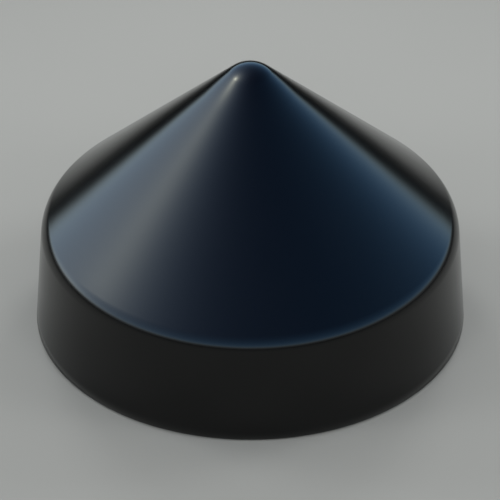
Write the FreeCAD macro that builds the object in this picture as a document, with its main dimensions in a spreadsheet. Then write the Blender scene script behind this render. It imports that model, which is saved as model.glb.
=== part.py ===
"""Pile cap: a cone-topped plastic cap that sleeves over the head of a dock pile.

The real thing is one moulding of even wall: a round skirt with a little draft, a soft shoulder,
a cone and a ball-shaped tip, open underneath. It stands on its lip with +Z up, and the origin is
the centre of the mouth, in the plane that the lip rests on. All sizes are in millimetres.
"""

import FreeCAD, Part
import math
import os

import Sketcher

PARTS_FOLDER = "parts"

# Name, value and meaning of each driving dimension; angles are in degrees
DRIVING_SIZES = [
    ("rim_radius", 135.0, "outer radius of the skirt at the mouth"),
    ("skirt_rise", 71.5, "height at which the skirt's line meets the cone's line"),
    ("skirt_draft", 2.4, "angle that the skirt leans in towards its top"),
    ("cone_pitch", 45.0, "angle that the cone rises from level"),
    ("shoulder_round", 17.0, "outer radius between skirt and cone"),
    ("tip_round", 21.0, "outer radius of the ball-shaped tip"),
    ("wall", 5.0, "thickness of the moulded wall"),
    ("lip_outer_round", 2.5, "radius on the outer edge of the lip"),
    ("lip_lead_in", 1.0, "flat bevel on the inner edge of the lip, which leads the pile in"),
    ("lip_round_share", 0.6, "most of the wall that the lip's radius may take"),
    ("lip_bevel_share", 0.3, "most of the wall that the lip's bevel may take"),
]

# Sketcher's numbers for the points of a line or arc, and for its own origin and axes
START, END, CENTRE = 1, 2, 3
SKETCH_ORIGIN = (-1, 1)
LEVEL_AXIS, UPRIGHT_AXIS = -1, -2

ON_PLANE = 1e-4


def make_sizes(doc):
    """The spreadsheet, with one aliased cell for each driving dimension."""
    sheet = doc.addObject("Spreadsheet::Sheet", "Sizes")
    for row, (name, value, meaning) in enumerate(DRIVING_SIZES, start=1):
        sheet.set(f"A{row}", name)
        sheet.set(f"B{row}", str(value))
        sheet.setAlias(f"B{row}", name)
        sheet.set(f"C{row}", meaning)
    doc.recompute()
    return sheet


def origin_feature(body, role):
    """The body's own origin plane or axis with that role."""
    return next(item for item in body.Origin.OriginFeatures if item.Role == role)


def wall_shapes(sizes):
    """The wall's lines and arcs as the sizes place them, for the sketch to start from."""
    draft = math.radians(sizes.skirt_draft)
    pitch = math.radians(sizes.cone_pitch)
    upright = math.pi / 2
    face_on = FreeCAD.Vector(0, 0, 1)
    skirt_normal = FreeCAD.Vector(math.cos(draft), math.sin(draft), 0)
    cone_normal = FreeCAD.Vector(math.sin(pitch), math.cos(pitch), 0)

    corner_radius = sizes.rim_radius - sizes.skirt_rise * math.tan(draft)
    corner = FreeCAD.Vector(corner_radius, sizes.skirt_rise, 0)
    bisector = (skirt_normal + cone_normal).normalize()
    shoulder_centre = corner - bisector * (sizes.shoulder_round / bisector.dot(cone_normal))
    apex_height = sizes.skirt_rise + corner_radius * math.tan(pitch)
    ball_centre = FreeCAD.Vector(0, apex_height - sizes.tip_round / math.cos(pitch), 0)

    shapes = {"corner": Part.Point(corner)}
    rims, tops = [], []
    for side, depth in (("outer", 0.0), ("inner", sizes.wall)):
        bend = sizes.shoulder_round - depth
        ball = sizes.tip_round - depth
        rim = FreeCAD.Vector(sizes.rim_radius - depth / math.cos(draft), 0, 0)
        skirt_top = shoulder_centre + skirt_normal * bend
        cone_foot = shoulder_centre + cone_normal * bend
        cone_top = ball_centre + cone_normal * ball
        bend_circle = Part.Circle(shoulder_centre, face_on, bend)
        ball_circle = Part.Circle(ball_centre, face_on, ball)
        shapes[f"{side}_skirt"] = Part.LineSegment(rim, skirt_top)
        shapes[f"{side}_shoulder"] = Part.ArcOfCircle(bend_circle, draft, upright - pitch)
        shapes[f"{side}_cone"] = Part.LineSegment(cone_foot, cone_top)
        shapes[f"{side}_tip"] = Part.ArcOfCircle(ball_circle, upright - pitch, upright)
        rims.append(rim)
        tops.append(ball_centre + FreeCAD.Vector(0, ball, 0))
    shapes["lip"] = Part.LineSegment(*rims)
    shapes["spine"] = Part.LineSegment(*tops)
    return shapes


def draw_wall(body, sizes):
    """The wall as it's cut on one side of the axis: a sketch that the sizes hold fully."""
    sketch = body.newObject("Sketcher::SketchObject", "WallSection")
    sketch.AttachmentSupport = [(origin_feature(body, "XZ_Plane"), "")]
    sketch.MapMode = "FlatFace"
    line = {name: sketch.addGeometry(shape) for name, shape in wall_shapes(sizes).items()}
    sketch.setConstruction(line["corner"], True)

    relations = []
    for side in ("outer", "inner"):
        skirt, shoulder = line[f"{side}_skirt"], line[f"{side}_shoulder"]
        cone, tip = line[f"{side}_cone"], line[f"{side}_tip"]
        relations += [
            ("PointOnObject", skirt, START, LEVEL_AXIS),
            ("Tangent", skirt, END, shoulder, START),
            ("Tangent", shoulder, END, cone, START),
            ("Tangent", cone, END, tip, START),
            ("PointOnObject", tip, END, UPRIGHT_AXIS),
        ]
    # Both sides of the wall bend about the same centres, so the wall stays even
    relations += [
        ("PointOnObject", line["outer_tip"], CENTRE, UPRIGHT_AXIS),
        ("Coincident", line["inner_tip"], CENTRE, line["outer_tip"], CENTRE),
        ("Coincident", line["inner_shoulder"], CENTRE, line["outer_shoulder"], CENTRE),
        ("Parallel", line["inner_skirt"], line["outer_skirt"]),
        ("Coincident", line["lip"], START, line["outer_skirt"], START),
        ("Coincident", line["lip"], END, line["inner_skirt"], START),
        ("Coincident", line["spine"], START, line["outer_tip"], END),
        ("Coincident", line["spine"], END, line["inner_tip"], END),
        ("PointOnObject", line["corner"], START, line["outer_skirt"]),
        ("PointOnObject", line["corner"], START, line["outer_cone"]),
    ]
    sketch.addConstraint([Sketcher.Constraint(*relation) for relation in relations])

    lean = math.pi / 2 + math.radians(sizes.skirt_draft)
    pitch = math.pi - math.radians(sizes.cone_pitch)
    inner_bend = sizes.shoulder_round - sizes.wall
    inner_ball = sizes.tip_round - sizes.wall
    rim_point = (line["outer_skirt"], START)
    corner_point = (line["corner"], START)
    measures = [
        ("rim", ("DistanceX", *SKETCH_ORIGIN, *rim_point, sizes.rim_radius), "Sizes.rim_radius * 1 mm"),
        ("rise", ("DistanceY", *SKETCH_ORIGIN, *corner_point, sizes.skirt_rise), "Sizes.skirt_rise * 1 mm"),
        ("lean", ("Angle", line["outer_skirt"], lean), "(90 + Sizes.skirt_draft) * 1 deg"),
        ("pitch", ("Angle", line["outer_cone"], pitch), "(180 - Sizes.cone_pitch) * 1 deg"),
        ("bend", ("Radius", line["outer_shoulder"], sizes.shoulder_round), "Sizes.shoulder_round * 1 mm"),
        ("ball", ("Radius", line["outer_tip"], sizes.tip_round), "Sizes.tip_round * 1 mm"),
        (
            "inner_bend",
            ("Radius", line["inner_shoulder"], inner_bend),
            "(Sizes.shoulder_round - Sizes.wall) * 1 mm",
        ),
        (
            "inner_ball",
            ("Radius", line["inner_tip"], inner_ball),
            "(Sizes.tip_round - Sizes.wall) * 1 mm",
        ),
    ]
    for name, measure, expression in measures:
        index = sketch.addConstraint(Sketcher.Constraint(*measure))
        sketch.renameConstraint(index, name)
        sketch.setExpression(f"Constraints.{name}", expression)
    return sketch


def turn_wall(body, sketch):
    """The hollow form of the cap: its wall turned about the upright axis."""
    turned = body.newObject("PartDesign::Revolution", "TurnedWall")
    turned.Profile = sketch
    turned.ReferenceAxis = (origin_feature(body, "Z_Axis"), [""])
    turned.Angle = 360.0
    return turned


def mouth_edges(shape):
    """Names of the round edges in the mouth's plane, from the innermost to the outermost."""
    found = []
    for number, edge in enumerate(shape.Edges, start=1):
        if edge.Degenerated or not isinstance(edge.Curve, Part.Circle):
            continue
        if abs(edge.Curve.Center.z) < ON_PLANE:
            found.append((edge.Curve.Radius, f"Edge{number}"))
    return [name for radius, name in sorted(found)]


def dress_edge(body, base, kind, name, edge, size, expression):
    """A fillet or chamfer on one edge of the form so far, with its size as an expression."""
    feature = body.newObject(f"PartDesign::{kind}", name)
    feature.Base = (base, [edge])
    feature.setExpression(size, expression)
    return feature


def make_cap(doc, sizes):
    """The whole cap: its wall turned, then the lip rounded outside and bevelled inside."""
    body = doc.addObject("PartDesign::Body", "CapShell")
    body.Label = "cap_shell"
    turned = turn_wall(body, draw_wall(body, sizes))
    doc.recompute()

    outer_edge = mouth_edges(turned.Shape)[-1]
    radius = "min(Sizes.lip_outer_round; Sizes.wall * Sizes.lip_round_share) * 1 mm"
    lip_round = dress_edge(body, turned, "Fillet", "LipRound", outer_edge, "Radius", radius)
    doc.recompute()

    inner_edge = mouth_edges(lip_round.Shape)[0]
    width = "min(Sizes.lip_lead_in; Sizes.wall * Sizes.lip_bevel_share) * 1 mm"
    lead_in = dress_edge(body, lip_round, "Chamfer", "LeadIn", inner_edge, "Size", width)
    body.Tip = lead_in
    body.Placement = FreeCAD.Placement()
    doc.recompute()
    return body


def check(doc, bodies):
    """Stops the build if a feature failed or a piece isn't one valid solid."""
    for item in doc.Objects:
        if {"Invalid", "Error"} & set(item.State):
            raise RuntimeError(f"{item.Name} failed: {item.State}")
    for body in bodies:
        shape = body.Shape
        if shape.isNull() or not shape.isValid() or len(shape.Solids) != 1:
            raise RuntimeError(f"{body.Label} isn't one valid solid")


def main():
    doc = FreeCAD.newDocument("PileCap")
    sizes = make_sizes(doc)
    bodies = [make_cap(doc, sizes)]
    check(doc, bodies)
    os.makedirs(PARTS_FOLDER, exist_ok=True)
    for body in bodies:
        body.Shape.exportStep(os.path.join(PARTS_FOLDER, f"{body.Label}.step"))
        box = body.Shape.optimalBoundingBox(False)
        volume = body.Shape.Volume
        print(f"{body.Label}: {box.XLength:.2f} x {box.YLength:.2f} x {box.ZLength:.2f} mm, {volume:.0f} mm3")


main()
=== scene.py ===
"""Looks and stage of the pile cap: a glossy black moulded cap with a cone top, on a pale floor.

The moulding is turned like a bowl on a lathe: the section of its wall is drawn with straight runs
and bends, and is then spun about the upright axis. All lengths are in metres.
"""

import math

import bpy
from bpy.props import FloatProperty, FloatVectorProperty, IntProperty, PointerProperty
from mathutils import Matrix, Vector


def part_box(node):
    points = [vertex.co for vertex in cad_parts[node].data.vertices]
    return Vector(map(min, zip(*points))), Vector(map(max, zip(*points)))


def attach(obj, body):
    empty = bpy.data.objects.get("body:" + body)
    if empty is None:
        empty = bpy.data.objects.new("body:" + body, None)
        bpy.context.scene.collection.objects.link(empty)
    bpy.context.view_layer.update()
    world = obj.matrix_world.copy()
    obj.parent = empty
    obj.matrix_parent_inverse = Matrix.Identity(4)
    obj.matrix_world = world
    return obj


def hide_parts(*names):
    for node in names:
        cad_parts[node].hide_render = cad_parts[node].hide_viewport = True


bl_info = {
    "name": "Pile Cap",
    "version": (1, 0, 0),
    "blender": (4, 5, 0),
    "location": "3D View > Sidebar > Pile Cap",
    "description": "Models a moulded pile cap with its finish and sets the stage for it",
    "category": "Add Mesh",
}

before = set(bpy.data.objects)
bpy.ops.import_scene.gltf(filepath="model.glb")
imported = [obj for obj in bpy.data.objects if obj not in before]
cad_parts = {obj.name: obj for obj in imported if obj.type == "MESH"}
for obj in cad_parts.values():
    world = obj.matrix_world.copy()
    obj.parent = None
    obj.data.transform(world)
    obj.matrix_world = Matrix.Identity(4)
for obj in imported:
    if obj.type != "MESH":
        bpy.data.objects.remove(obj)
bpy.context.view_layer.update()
CAP_LOW, CAP_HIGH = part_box("cap_shell")
WIDEST_RADIUS = min(CAP_HIGH.x, CAP_HIGH.y, -CAP_LOW.x, -CAP_LOW.y)

FULL_TURN = 2 * math.pi
HALF_TURN = math.pi
QUARTER_TURN = math.pi / 2

# The mesh: the steps of each bend and run of the section, and what the mesh tools need
TIP_STEPS, INNER_TIP_STEPS = 24, 16
SHOULDER_STEPS, INNER_SHOULDER_STEPS = 24, 16
CONE_STEPS = 24
SKIRT_STEPS = 12
LIP_STEPS = 10
MERGE_DISTANCE = 1e-6
SEED_SIZE = 1e-5  # width of the face whose corners are merged into a section's first point
SHARPEST_SMOOTH_EDGE = math.radians(30)

# The noises that vary the plastic
NOISE_DETAIL = {"Cloud": 4, "Ripple": 2, "Grain": 3}
CLOUD_LOW, CLOUD_HIGH = 0.3, 0.7  # the clouds stay within these limits nearly everywhere
PIGMENT_SWING = 0.3  # the pigment is this share darker where a cloud is 0, lighter where it is 1

FLOOR_SIDES = 128
FLOOR_DROP = 0.0001  # the floor lies this far below the lip, so that no faces coincide

# The photograph's frame, and where the cap stands in it, in pixels of that frame
FRAME_PIXELS = 500
RIM_RADIUS_PIXELS = 213.61
AXIS_COLUMN = 250.265
MIDDLE_ROW_HEIGHT = 0.3903  # height on the axis that the middle row crosses, in rim radii


class CapSizes(bpy.types.PropertyGroup):
    """Sizes of the moulding."""

    widest_radius: FloatProperty(
        name="Widest Radius",
        description="Outer radius just above the rounded lip",
        default=WIDEST_RADIUS,
        unit="LENGTH",
    )
    height: FloatProperty(
        name="Height",
        description="Height from the lip to the top of the tip",
        default=CAP_HIGH.z,
        unit="LENGTH",
    )
    skirt_rise: FloatProperty(
        name="Skirt Rise",
        description="Height at which the skirt's line meets the cone's line",
        default=0.0715,
        unit="LENGTH",
    )
    skirt_draft: FloatProperty(
        name="Skirt Draft",
        description="Angle that the skirt leans in towards its top",
        default=math.radians(2.4),
        subtype="ANGLE",
    )
    cone_pitch: FloatProperty(
        name="Cone Pitch",
        description="Angle that the cone rises from level",
        default=math.radians(45),
        subtype="ANGLE",
    )
    shoulder_round: FloatProperty(
        name="Shoulder Round",
        description="Outer radius between skirt and cone",
        default=0.017,
        unit="LENGTH",
    )
    tip_round: FloatProperty(
        name="Tip Round",
        description="Outer radius of the ball-shaped tip",
        default=0.021,
        unit="LENGTH",
    )
    wall: FloatProperty(
        name="Wall",
        description="Thickness of the moulded wall",
        default=0.005,
        unit="LENGTH",
    )
    lip_round: FloatProperty(
        name="Lip Round",
        description="Radius on the outer edge of the lip",
        default=0.0025,
        unit="LENGTH",
    )
    lead_in: FloatProperty(
        name="Lead-in",
        description="Flat bevel on the inner edge of the lip",
        default=0.001,
        unit="LENGTH",
    )
    steps_around: IntProperty(
        name="Steps Around",
        description="Facets in one turn about the axis",
        default=256,
        min=32,
        max=512,
    )


class CapFinish(bpy.types.PropertyGroup):
    """Finish of the black plastic."""

    refraction: FloatProperty(
        name="Refraction",
        description="How strongly the plastic bends light, which sets how much its gloss mirrors",
        default=1.4,
        min=1,
        max=2,
    )
    plastic_colour: FloatVectorProperty(
        name="Plastic Colour",
        description="Colour of the plastic under its gloss",
        default=(0.0018, 0.0019, 0.0019),
        subtype="COLOR",
        min=0,
        max=1,
    )
    outer_roughness: FloatProperty(
        name="Outer Roughness",
        description="Roughness of the polished outer face",
        default=0.15,
        subtype="FACTOR",
        min=0,
        max=1,
    )
    inner_roughness: FloatProperty(
        name="Inner Roughness",
        description="Roughness of the plainer inner face",
        default=0.34,
        subtype="FACTOR",
        min=0,
        max=1,
    )
    tip_gloss_reach: FloatProperty(
        name="Tip Gloss Reach",
        description="Distance from the axis within which the cone's gloss blends into the tip's",
        default=0.0277,
        unit="LENGTH",
    )
    tip_gloss_turn: FloatProperty(
        name="Tip Gloss Turn",
        description="Angle by which that gloss turns upwards where the cone meets the tip",
        default=math.radians(4.3),
        subtype="ANGLE",
    )
    lip_gloss_reach: FloatProperty(
        name="Lip Gloss Reach",
        description="Height above the mouth within which the skirt's gloss blends into the lip's",
        default=0.0076,
        unit="LENGTH",
    )
    lip_gloss_turn: FloatProperty(
        name="Lip Gloss Turn",
        description="Angle by which that gloss has turned down at the mouth",
        default=math.radians(36),
        subtype="ANGLE",
    )


class SkySettings(bpy.types.PropertyGroup):
    """Sky and ground that the gloss mirrors: blue, pale near the horizon, with a glow at the left."""

    upper_colour: FloatVectorProperty(
        name="Upper Colour",
        description="Colour of the sky overhead",
        default=(0.0, 0.032, 0.160),
        subtype="COLOR",
        min=0,
    )
    wide_colour: FloatVectorProperty(
        name="Wide Colour",
        description="Blue light that fades slowly from the horizon upwards",
        default=(0.52, 1.21, 2.08),
        subtype="COLOR",
        min=0,
    )
    wide_reach: FloatProperty(
        name="Wide Reach",
        description="Angle over which the blue light fades",
        default=math.radians(23.0),
        subtype="ANGLE",
    )
    low_colour: FloatVectorProperty(
        name="Low Colour",
        description="Warm light in a narrow band on the horizon",
        default=(1.87, 1.50, 0.0),
        subtype="COLOR",
        min=0,
    )
    low_reach: FloatProperty(
        name="Low Reach",
        description="Angle over which the warm band fades",
        default=math.radians(4.1),
        subtype="ANGLE",
    )
    horizon_height: FloatProperty(
        name="Horizon Height",
        description="Elevation at which ground and sky mix half and half",
        default=math.radians(3.3),
        subtype="ANGLE",
    )
    horizon_blur: FloatProperty(
        name="Horizon Blur",
        description="Angle over which the ground turns into sky",
        default=math.radians(7),
        subtype="ANGLE",
    )
    ground_colour: FloatVectorProperty(
        name="Ground Colour",
        description="Colour of the ground beyond the floor, in front and at the sides",
        default=(0.45, 0.45, 0.45),
        subtype="COLOR",
        min=0,
    )
    back_colour: FloatVectorProperty(
        name="Back Colour",
        description="Colour of the ground far behind the cap",
        default=(0.01, 0.01, 0.01),
        subtype="COLOR",
        min=0,
    )
    back_width: FloatProperty(
        name="Back Width",
        description="Angle to each side of the back at which the dark ground has half turned pale",
        default=math.radians(60),
        subtype="ANGLE",
    )
    back_blur: FloatProperty(
        name="Back Blur",
        description="Angle over which the dark ground turns pale",
        default=math.radians(70),
        subtype="ANGLE",
    )
    glow_azimuth: FloatProperty(
        name="Glow Azimuth",
        description="Way that the glow lies: 0 is the front, -90 the left",
        default=math.radians(-106.9),
        subtype="ANGLE",
    )
    glow_elevation: FloatProperty(
        name="Glow Elevation",
        description="Height of the glow above the horizon",
        default=math.radians(43.05),
        subtype="ANGLE",
    )
    core_colour: FloatVectorProperty(
        name="Core Colour",
        description="Light at the middle of the glow",
        default=(25.2, 26.1, 20.8),
        subtype="COLOR",
        min=0,
    )
    core_reach: FloatProperty(
        name="Core Reach",
        description="Angle over which the middle of the glow fades",
        default=math.radians(3.2),
        subtype="ANGLE",
    )
    glow_colour: FloatVectorProperty(
        name="Glow Colour",
        description="Light around the middle of the glow",
        default=(7.57, 7.35, 6.34),
        subtype="COLOR",
        min=0,
    )
    glow_reach: FloatVectorProperty(
        name="Glow Reach",
        description="Angles over which the glow's red, green and blue fade",
        default=[math.radians(angle) for angle in (10.0, 11.2, 13.9)],
        unit="ROTATION",
    )
    haze_colour: FloatVectorProperty(
        name="Haze Colour",
        description="Haze that the glow lights on the horizon below it",
        default=(3.38, 3.47, 3.13),
        subtype="COLOR",
        min=0,
    )
    haze_reach: FloatProperty(
        name="Haze Reach",
        description="Angle over which that haze fades",
        default=math.radians(25),
        subtype="ANGLE",
    )


class StageSettings(bpy.types.PropertyGroup):
    """Floor, lamps and camera."""

    floor_colour: FloatVectorProperty(
        name="Floor Colour",
        description="Colour of the pale floor",
        default=(0.463, 0.476, 0.463),
        subtype="COLOR",
        min=0,
        max=1,
    )
    floor_radius: FloatProperty(
        name="Floor Radius",
        description="Radius of the round floor",
        default=1.3,
        unit="LENGTH",
    )
    fill_strength: FloatProperty(
        name="Fill Strength",
        description="Strength of the weak, even light from the whole sky",
        default=0.37,
    )
    fill_width: FloatProperty(
        name="Fill Width",
        description="Angle across the sky that the even light comes from",
        default=math.radians(170),
        subtype="ANGLE",
    )
    canopy_power: FloatProperty(
        name="Canopy Power",
        description="Power of the broad soft lamp over the cap",
        default=1.0,
        unit="POWER",
    )
    canopy_width: FloatProperty(
        name="Canopy Width",
        description="Width of the round soft lamp over the cap",
        default=1.2,
        unit="LENGTH",
    )
    canopy_place: FloatVectorProperty(
        name="Canopy Place",
        description="Middle of the lamp over the cap, a little to the front",
        default=(0, -0.12, 0.42),
        unit="LENGTH",
    )
    ring_lamps: IntProperty(
        name="Ring Lamps",
        description="Number of low, soft lamps in a ring round the cap",
        default=8,
        min=3,
        max=16,
    )
    ring_power: FloatProperty(
        name="Ring Power",
        description="Power of a lamp at the side of the ring",
        default=7.0,
        unit="POWER",
    )
    ring_lean: FloatProperty(
        name="Ring Lean",
        description="Share of that power that a lamp at the back has more, and one in front less",
        default=0.4,
        subtype="FACTOR",
        min=0,
        max=1,
    )
    ring_elevation: FloatProperty(
        name="Ring Elevation",
        description="Height of the ring's lamps above the horizon",
        default=math.radians(30),
        subtype="ANGLE",
    )
    ring_distance: FloatProperty(
        name="Ring Distance",
        description="Distance of the ring's lamps from the middle of the mouth",
        default=1.1,
        unit="LENGTH",
    )
    ring_beam: FloatProperty(
        name="Ring Beam",
        description="Angle of each beam, which fades out towards its edge",
        default=math.radians(75),
        subtype="ANGLE",
    )
    ring_lamp_radius: FloatProperty(
        name="Ring Lamp Radius",
        description="Radius of each lamp in the ring, which softens its shadow",
        default=0.2,
        unit="LENGTH",
    )
    camera_elevation: FloatProperty(
        name="Camera Elevation",
        description="Angle that the camera looks down",
        default=math.atan(1 / math.sqrt(2)),
        subtype="ANGLE",
    )
    camera_distance: FloatProperty(
        name="Camera Distance",
        description="Distance of the camera from the cap",
        default=1.5,
        unit="LENGTH",
    )


def along(angle):
    """The unit vector in the section's plane at that angle above level, away from the axis."""
    return Vector((math.cos(angle), 0, math.sin(angle)))


def deselect_all():
    """Leaves nothing selected, so that an operator acts only on what is picked next."""
    if bpy.context.object and bpy.context.object.mode != "OBJECT":
        bpy.ops.object.mode_set(mode="OBJECT")
    bpy.ops.object.select_all(action="DESELECT")


class SectionPen:
    """Draws the section of a wall in edit mode, one run or bend after the other."""

    def __init__(self, name, start):
        deselect_all()
        bpy.ops.mesh.primitive_plane_add(size=SEED_SIZE, enter_editmode=True)
        self.piece = bpy.context.object
        self.piece.name = self.piece.data.name = name
        bpy.ops.mesh.select_all(action="SELECT")
        bpy.ops.mesh.merge(type="CENTER")
        bpy.ops.transform.translate(value=start)
        self.place = start.copy()

    def run_to(self, point, steps=1):
        """A straight run in equal steps."""
        step = (point - self.place) / steps
        for _ in range(steps):
            bpy.ops.mesh.extrude_region_move(TRANSFORM_OT_translate={"value": step})
        self.place = point.copy()

    def bend_about(self, centre, end, steps):
        """A round bend about a centre, to the point end."""
        arm, last_arm = self.place - centre, end - centre
        angle = arm.angle(last_arm)
        axis = last_arm.cross(arm).normalized()  # the spin operator turns clockwise about it
        bpy.ops.mesh.spin(steps=steps, angle=angle, center=centre, axis=axis)
        self.place = end.copy()


def wall_section(sizes):
    """Centres of the bends, and the points where runs and bends meet on both faces of the wall."""
    draft, pitch = sizes.skirt_draft, sizes.cone_pitch
    skirt_out = along(draft)
    cone_out = along(QUARTER_TURN - pitch)
    lip_reach = sizes.lip_round * ((1 + math.sin(draft)) / math.cos(draft) - 1)
    rim_radius = sizes.widest_radius + lip_reach
    corner_radius = rim_radius - sizes.skirt_rise * math.tan(draft)
    apex = sizes.height + sizes.tip_round * (1 / math.cos(pitch) - 1)
    corner = Vector((corner_radius, 0, apex - corner_radius * math.tan(pitch)))
    bisector = (skirt_out + cone_out).normalized()
    places = {
        "shoulder_centre": corner - bisector * sizes.shoulder_round / bisector.dot(cone_out),
        "ball_centre": Vector((0, 0, sizes.height - sizes.tip_round)),
    }
    for side, depth in (("outer", 0), ("inner", sizes.wall)):
        bend = sizes.shoulder_round - depth
        ball = sizes.tip_round - depth
        places[side] = {
            "top": places["ball_centre"] + Vector((0, 0, ball)),
            "cone_top": places["ball_centre"] + cone_out * ball,
            "cone_foot": places["shoulder_centre"] + cone_out * bend,
            "skirt_top": places["shoulder_centre"] + skirt_out * bend,
            "rim": Vector((rim_radius - depth / math.cos(draft), 0, 0)),
        }
    lip_centre = Vector((sizes.widest_radius - sizes.lip_round, 0, sizes.lip_round))
    places["lip_centre"] = lip_centre
    places["lip_side"] = lip_centre + skirt_out * sizes.lip_round
    places["lip_foot"] = lip_centre - Vector((0, 0, sizes.lip_round))
    return places


def draw_section(name, sizes):
    """Draws the cut wall from the top of the tip down its outer face and back up its inner face."""
    places = wall_section(sizes)
    outer, inner = places["outer"], places["inner"]
    ball, shoulder = places["ball_centre"], places["shoulder_centre"]

    pen = SectionPen(name, outer["top"])
    pen.bend_about(ball, outer["cone_top"], TIP_STEPS)
    pen.run_to(outer["cone_foot"], CONE_STEPS)
    pen.bend_about(shoulder, outer["skirt_top"], SHOULDER_STEPS)
    pen.run_to(places["lip_side"], SKIRT_STEPS)
    pen.bend_about(places["lip_centre"], places["lip_foot"], LIP_STEPS)

    pen.run_to(inner["rim"] + Vector((sizes.lead_in, 0, 0)))
    pen.run_to(inner["rim"] + along(QUARTER_TURN + sizes.skirt_draft) * sizes.lead_in)
    pen.run_to(inner["skirt_top"], SKIRT_STEPS)
    pen.bend_about(shoulder, inner["cone_foot"], INNER_SHOULDER_STEPS)
    pen.run_to(inner["cone_top"], CONE_STEPS)
    pen.bend_about(ball, inner["top"], INNER_TIP_STEPS)
    return pen.piece


def turn_about_axis(steps):
    """Spins the section in edit mode about the upright axis, and closes the seam and the poles."""
    bpy.ops.mesh.select_all(action="SELECT")
    bpy.ops.mesh.spin(steps=steps, angle=FULL_TURN, center=(0, 0, 0), axis=(0, 0, 1))
    bpy.ops.mesh.select_all(action="SELECT")
    bpy.ops.mesh.remove_doubles(threshold=MERGE_DISTANCE)
    bpy.ops.mesh.normals_make_consistent(inside=False)
    bpy.ops.object.mode_set(mode="OBJECT")


def feed(tree, sockets, values):
    """Links each socket to the socket given for it, or sets it to the number or vector given."""
    for socket, value in zip(sockets, values):
        if isinstance(value, bpy.types.NodeSocket):
            tree.links.new(value, socket)
        else:
            socket.default_value = value


def add_math(tree, operation, *values):
    """A Math node in the tree, fed by sockets or numbers, and its result."""
    node = tree.nodes.new("ShaderNodeMath")
    node.operation = operation
    feed(tree, node.inputs, values)
    return node.outputs[0]


def add_vector_math(tree, operation, *values):
    """A Vector Math node in the tree, fed by sockets or vectors, and its result."""
    node = tree.nodes.new("ShaderNodeVectorMath")
    node.operation = operation
    feed(tree, node.inputs, values)
    result = "Value" if operation == "DOT_PRODUCT" else "Vector"
    return node.outputs[result]


def mix_colours(tree, share, first, second):
    """A mix of two colours by the share of the second. A fixed colour comes with its alpha."""
    mix = tree.nodes.new("ShaderNodeMix")
    mix.data_type = "RGBA"
    tree.links.new(share, mix.inputs["Factor"])
    feed(tree, (mix.inputs["A"], mix.inputs["B"]), (first, second))
    return mix.outputs["Result"]


def moulded_surface_group():
    """Node group of what every moulded face shows: cloudy pigment and a fine, low relief."""
    group = bpy.data.node_groups.new("Moulded Surface", "ShaderNodeTree")
    sockets = [
        ("Cloud Scale", "INPUT", "NodeSocketFloat"),
        ("Ripple Scale", "INPUT", "NodeSocketFloat"),
        ("Grain Scale", "INPUT", "NodeSocketFloat"),
        ("Grain Share", "INPUT", "NodeSocketFloat"),
        ("Cloud", "OUTPUT", "NodeSocketFloat"),
        ("Height", "OUTPUT", "NodeSocketFloat"),
    ]
    for name, direction, kind in sockets:
        group.interface.new_socket(name=name, in_out=direction, socket_type=kind)
    inputs = group.nodes.new("NodeGroupInput").outputs
    outputs = group.nodes.new("NodeGroupOutput").inputs
    place = group.nodes.new("ShaderNodeTexCoord").outputs["Object"]

    noises = {}
    for name, detail in NOISE_DETAIL.items():
        noise = group.nodes.new("ShaderNodeTexNoise")
        noise.inputs["Detail"].default_value = detail
        group.links.new(place, noise.inputs["Vector"])
        group.links.new(inputs[f"{name} Scale"], noise.inputs["Scale"])
        noises[name] = noise.outputs["Fac"]

    grain = add_math(group, "MULTIPLY", noises["Grain"], inputs["Grain Share"])
    relief = add_math(group, "ADD", noises["Ripple"], grain)
    group.links.new(noises["Cloud"], outputs["Cloud"])
    group.links.new(relief, outputs["Height"])
    return group


def plastic_material(name, group, finish, roughness, roughness_swing, scales, relief_depth):
    """Black plastic whose colour, gloss and relief vary a little over the moulding."""
    material = bpy.data.materials.new(name)
    material.use_nodes = True
    tree = material.node_tree
    shader = tree.nodes["Principled BSDF"]
    shader.inputs["IOR"].default_value = finish.refraction

    surface = tree.nodes.new("ShaderNodeGroup")
    surface.node_tree = group
    for socket, value in scales.items():
        surface.inputs[socket].default_value = value
    cloud = surface.outputs["Cloud"]

    darker = Vector(finish.plastic_colour) * (1 - PIGMENT_SWING)
    lighter = Vector(finish.plastic_colour) * (1 + PIGMENT_SWING)
    pigment = mix_colours(tree, cloud, (*darker, 1), (*lighter, 1))
    tree.links.new(pigment, shader.inputs["Base Color"])

    gloss = tree.nodes.new("ShaderNodeMapRange")
    gloss.inputs["From Min"].default_value = CLOUD_LOW
    gloss.inputs["From Max"].default_value = CLOUD_HIGH
    gloss.inputs["To Min"].default_value = roughness - roughness_swing
    gloss.inputs["To Max"].default_value = roughness + roughness_swing
    tree.links.new(cloud, gloss.inputs["Value"])
    tree.links.new(gloss.outputs["Result"], shader.inputs["Roughness"])

    bump = tree.nodes.new("ShaderNodeBump")
    bump.inputs["Strength"].default_value = 1
    bump.inputs["Distance"].default_value = relief_depth
    tree.links.new(surface.outputs["Height"], bump.inputs["Height"])
    tree.links.new(bump.outputs["Normal"], shader.inputs["Normal"])
    return material


def make_finishes(finish):
    """The two finishes of the one plastic: polished outside, plainer inside."""
    group = moulded_surface_group()
    outside = plastic_material(
        "Gloss Black Plastic",
        group,
        finish,
        roughness=finish.outer_roughness,
        roughness_swing=0.012,
        scales={"Cloud Scale": 18, "Ripple Scale": 90, "Grain Scale": 1500, "Grain Share": 0.02},
        relief_depth=0.00001,
    )
    inside = plastic_material(
        "Satin Black Plastic",
        group,
        finish,
        roughness=finish.inner_roughness,
        roughness_swing=0.04,
        scales={"Cloud Scale": 18, "Ripple Scale": 160, "Grain Scale": 1800, "Grain Share": 0.5},
        relief_depth=0.00004,
    )
    return outside, inside


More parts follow.
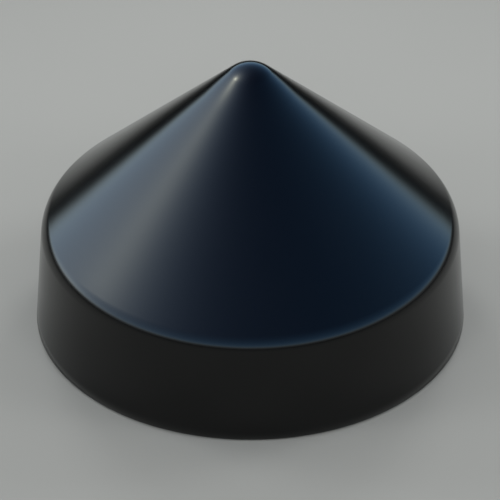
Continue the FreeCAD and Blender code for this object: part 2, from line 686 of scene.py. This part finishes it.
def paint_inner_faces(piece, sizes, slot_index):
    """Gives the faces that look towards the middle of the hollow their own finish."""
    middle = Vector((0, 0, sizes.skirt_rise))
    deselect_all()
    bpy.context.view_layer.objects.active = piece
    piece.select_set(True)
    bpy.context.tool_settings.mesh_select_mode = (False, False, True)
    bpy.ops.object.mode_set(mode="EDIT")
    bpy.ops.mesh.select_all(action="DESELECT")
    bpy.ops.object.mode_set(mode="OBJECT")
    for face in piece.data.polygons:
        face.select = (middle - face.center).dot(face.normal) > 0
    bpy.ops.object.mode_set(mode="EDIT")
    piece.active_material_index = slot_index
    bpy.ops.object.material_slot_assign()
    bpy.ops.object.mode_set(mode="OBJECT")


def blended_tilt(vertex, sizes, finish):
    """Tilt above level of the gloss at a vertex, where it blends into the tip's or lip's, or None."""
    rise = vertex.normal.z
    tip_reach, lip_reach = finish.tip_gloss_reach, finish.lip_gloss_reach
    meeting_radius = sizes.tip_round * math.sin(sizes.cone_pitch)
    tip_share = (tip_reach - vertex.co.xy.length) / (tip_reach - meeting_radius)
    tip_tilt = QUARTER_TURN - sizes.cone_pitch + finish.tip_gloss_turn * tip_share
    if tip_share > 0 and 0 < rise < math.sin(tip_tilt):
        return tip_tilt

    lip_share = (lip_reach - vertex.co.z) / lip_reach
    lip_tilt = sizes.skirt_draft - finish.lip_gloss_turn * lip_share
    looks_out = vertex.normal.xy.dot(vertex.co.xy) > 0
    if lip_share > 0 and looks_out and rise > math.sin(lip_tilt):
        return lip_tilt
    return None


def blend_gloss(piece, sizes, finish):
    """Turns the outer face's normals up near the tip and down near the lip, to blend the gloss."""
    normals = []
    for vertex in piece.data.vertices:
        tilt = blended_tilt(vertex, sizes, finish)
        if tilt is None:
            normals.append(Vector())  # leaves the vertex its own normal
        else:
            outward = vertex.co.xy.normalized() * math.cos(tilt)
            normals.append(Vector((*outward, math.sin(tilt))))
    piece.data.normals_split_custom_set_from_vertices(normals)


class PILECAP_OT_make_shell(bpy.types.Operator):
    """Turn the moulded shell and give it its finish"""

    bl_idname = "pilecap.make_shell"
    bl_label = "Make Shell"

    def execute(self, context):
        sizes = context.scene.cap_sizes
        finish = context.scene.cap_finish
        shell = draw_section("moulded_cap", sizes)
        turn_about_axis(sizes.steps_around)
        bpy.ops.object.shade_smooth_by_angle(angle=SHARPEST_SMOOTH_EDGE)
        for material in make_finishes(finish):
            shell.data.materials.append(material)
        paint_inner_faces(shell, sizes, slot_index=1)
        blend_gloss(shell, sizes, finish)
        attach(shell, "root")
        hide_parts("cap_shell")
        return {"FINISHED"}


def lay_floor(settings):
    """A plain round floor just under the lip."""
    deselect_all()
    bpy.ops.mesh.primitive_circle_add(
        vertices=FLOOR_SIDES,
        radius=settings.floor_radius,
        fill_type="NGON",
        location=(0, 0, -FLOOR_DROP),
    )
    floor = bpy.context.object
    floor.name = "floor"
    material = bpy.data.materials.new("Pale Floor")
    material.use_nodes = True
    shader = material.node_tree.nodes["Principled BSDF"]
    shader.inputs["Base Color"].default_value = (*settings.floor_colour, 1)
    shader.inputs["Roughness"].default_value = 1
    shader.inputs["Specular IOR Level"].default_value = 0
    floor.data.materials.append(material)


def looking(azimuth, elevation):
    """The unit vector that way from the cap: azimuth 0 is the front, -90 the left."""
    level = math.cos(elevation)
    return Vector((math.sin(azimuth) * level, -math.cos(azimuth) * level, math.sin(elevation)))


def fading_light(tree, colour, angle, reach):
    """Light that fades as the angle grows. The reach is one angle, or one for each channel."""
    reaches = (reach,) * 3 if isinstance(reach, float) else reach
    combine = tree.nodes.new("ShaderNodeCombineXYZ")
    for channel, strength, width in zip(combine.inputs, colour, reaches):
        fade = add_math(tree, "EXPONENT", add_math(tree, "DIVIDE", angle, -width))
        tree.links.new(add_math(tree, "MULTIPLY", fade, strength), channel)
    return combine.outputs["Vector"]


def angle_from(tree, direction, fixed):
    """Angle between the looked-at direction and a fixed one."""
    return add_math(tree, "ARCCOSINE", add_vector_math(tree, "DOT_PRODUCT", direction, fixed))


def soft_step(tree, value, middle, width):
    """Rises smoothly from 0 to 1 about a middle value, over a width."""
    step = tree.nodes.new("ShaderNodeMapRange")
    step.interpolation_type = "SMOOTHSTEP"
    step.inputs["From Min"].default_value = middle - width / 2
    step.inputs["From Max"].default_value = middle + width / 2
    tree.links.new(value, step.inputs["Value"])
    return step.outputs["Result"]


def paint_sky(scene, sky):
    """The sky as a sum of fading lights, which turns softly into the ground at the horizon.

    It shows in the gloss and doesn't light the floor, which is left to the lamps.
    """
    world = bpy.data.worlds.new("Sky")
    scene.world = world
    world.use_nodes = True
    tree = world.node_tree
    direction = tree.nodes.new("ShaderNodeTexCoord").outputs["Generated"]
    split = tree.nodes.new("ShaderNodeSeparateXYZ")
    tree.links.new(direction, split.inputs["Vector"])
    elevation = add_math(tree, "ARCSINE", split.outputs["Z"])
    above = add_math(tree, "MAXIMUM", elevation, 0)

    from_glow = angle_from(tree, direction, looking(sky.glow_azimuth, sky.glow_elevation))
    from_haze = angle_from(tree, direction, looking(sky.glow_azimuth, 0))
    lights = (
        fading_light(tree, sky.wide_colour, above, sky.wide_reach),
        fading_light(tree, sky.low_colour, above, sky.low_reach),
        fading_light(tree, sky.core_colour, from_glow, sky.core_reach),
        fading_light(tree, sky.glow_colour, from_glow, tuple(sky.glow_reach)),
        fading_light(tree, sky.haze_colour, from_haze, sky.haze_reach),
    )
    total = tuple(sky.upper_colour)
    for light in lights:
        total = add_vector_math(tree, "ADD", light, total)

    from_back = angle_from(tree, direction, looking(HALF_TURN, 0))
    past_back = soft_step(tree, from_back, sky.back_width, sky.back_blur)
    ground = mix_colours(tree, past_back, (*sky.back_colour, 1), (*sky.ground_colour, 1))
    past_horizon = soft_step(tree, elevation, sky.horizon_height, sky.horizon_blur)
    colour = mix_colours(tree, past_horizon, ground, total)
    tree.links.new(colour, tree.nodes["Background"].inputs["Color"])
    world.cycles_visibility.diffuse = False


def hang_lamp(scene, lamp, place, aim):
    """Hangs a lamp that lights the floor. The gloss mirrors the sky instead of it."""
    lamp_object = bpy.data.objects.new(lamp.name, lamp)
    scene.collection.objects.link(lamp_object)
    lamp_object.location = place
    lamp_object.rotation_euler = (aim - place).to_track_quat("-Z", "Y").to_euler()
    lamp_object.visible_glossy = False
    lamp_object.visible_camera = False


def floor_below(place):
    """The point of the floor straight below a place."""
    return Vector((place.x, place.y, 0))


def hang_canopy(scene, settings):
    """A broad, soft lamp over the cap."""
    lamp = bpy.data.lights.new("canopy", "AREA")
    lamp.shape = "DISK"
    lamp.size = settings.canopy_width
    lamp.energy = settings.canopy_power
    place = Vector(settings.canopy_place)
    hang_lamp(scene, lamp, place, floor_below(place))


def hang_ring(scene, settings):
    """Low, soft lamps all round the cap, stronger behind it, so that its shadow lies in front."""
    for number in range(settings.ring_lamps):
        azimuth = FULL_TURN * (number + 0.5) / settings.ring_lamps
        lamp = bpy.data.lights.new(f"ring_{number + 1}", "SPOT")
        lamp.energy = settings.ring_power * (1 - settings.ring_lean * math.cos(azimuth))
        lamp.spot_size = settings.ring_beam
        lamp.spot_blend = 1
        lamp.shadow_soft_size = settings.ring_lamp_radius
        place = looking(azimuth, settings.ring_elevation) * settings.ring_distance
        hang_lamp(scene, lamp, place, aim=Vector())


def hang_fill(scene, settings):
    """Weak, even light from the whole sky. It is the same wherever its lamp hangs."""
    lamp = bpy.data.lights.new("fill", "SUN")
    lamp.angle = settings.fill_width
    lamp.energy = settings.fill_strength
    place = Vector(settings.canopy_place)
    hang_lamp(scene, lamp, place, floor_below(place))


def place_camera(scene, settings):
    """A camera without perspective, at the photograph's angle and scale."""
    rim_radius = wall_section(scene.cap_sizes)["outer"]["rim"].x
    pixel = rim_radius / RIM_RADIUS_PIXELS
    camera = bpy.data.cameras.new("camera")
    camera.type = "ORTHO"
    camera.ortho_scale = FRAME_PIXELS * pixel
    camera_object = bpy.data.objects.new("camera", camera)
    scene.collection.objects.link(camera_object)
    back = looking(0, settings.camera_elevation)
    middle = Vector(((FRAME_PIXELS / 2 - AXIS_COLUMN) * pixel, 0, MIDDLE_ROW_HEIGHT * rim_radius))
    camera_object.location = middle + back * settings.camera_distance
    camera_object.rotation_euler = (-back).to_track_quat("-Z", "Y").to_euler()
    scene.camera = camera_object


class PILECAP_OT_set_stage(bpy.types.Operator):
    """Lay the floor, paint the sky, hang the lamps and place the camera"""

    bl_idname = "pilecap.set_stage"
    bl_label = "Set Stage"

    def execute(self, context):
        scene = context.scene
        settings = scene.cap_stage
        lay_floor(settings)
        paint_sky(scene, scene.cap_sky)
        hang_canopy(scene, settings)
        hang_ring(scene, settings)
        hang_fill(scene, settings)
        place_camera(scene, settings)
        scene.view_settings.view_transform = "Standard"
        return {"FINISHED"}


class PILECAP_PT_sidebar(bpy.types.Panel):
    """Sizes, finish and stage of the pile cap."""

    bl_idname = "PILECAP_PT_sidebar"
    bl_label = "Pile Cap"
    bl_space_type = "VIEW_3D"
    bl_region_type = "UI"
    bl_category = "Pile Cap"

    def draw(self, context):
        scene = context.scene
        groups = (
            (scene.cap_sizes, PILECAP_OT_make_shell),
            (scene.cap_finish, None),
            (scene.cap_sky, None),
            (scene.cap_stage, PILECAP_OT_set_stage),
        )
        for group, operator in groups:
            box = self.layout.box()
            for name in group.bl_rna.properties.keys():
                if name not in ("rna_type", "name"):
                    box.prop(group, name)
            if operator:
                box.operator(operator.bl_idname)


CLASSES = (
    CapSizes,
    CapFinish,
    SkySettings,
    StageSettings,
    PILECAP_OT_make_shell,
    PILECAP_OT_set_stage,
    PILECAP_PT_sidebar,
)


def register():
    for cls in CLASSES:
        bpy.utils.register_class(cls)
    bpy.types.Scene.cap_sizes = PointerProperty(type=CapSizes)
    bpy.types.Scene.cap_finish = PointerProperty(type=CapFinish)
    bpy.types.Scene.cap_sky = PointerProperty(type=SkySettings)
    bpy.types.Scene.cap_stage = PointerProperty(type=StageSettings)


def unregister():
    del bpy.types.Scene.cap_stage
    del bpy.types.Scene.cap_sky
    del bpy.types.Scene.cap_finish
    del bpy.types.Scene.cap_sizes
    for cls in reversed(CLASSES):
        bpy.utils.unregister_class(cls)


def main():
    """Makes the cap and its stage."""
    register()
    bpy.ops.pilecap.make_shell()
    bpy.ops.pilecap.set_stage()


if __name__ == "__main__":
    main()
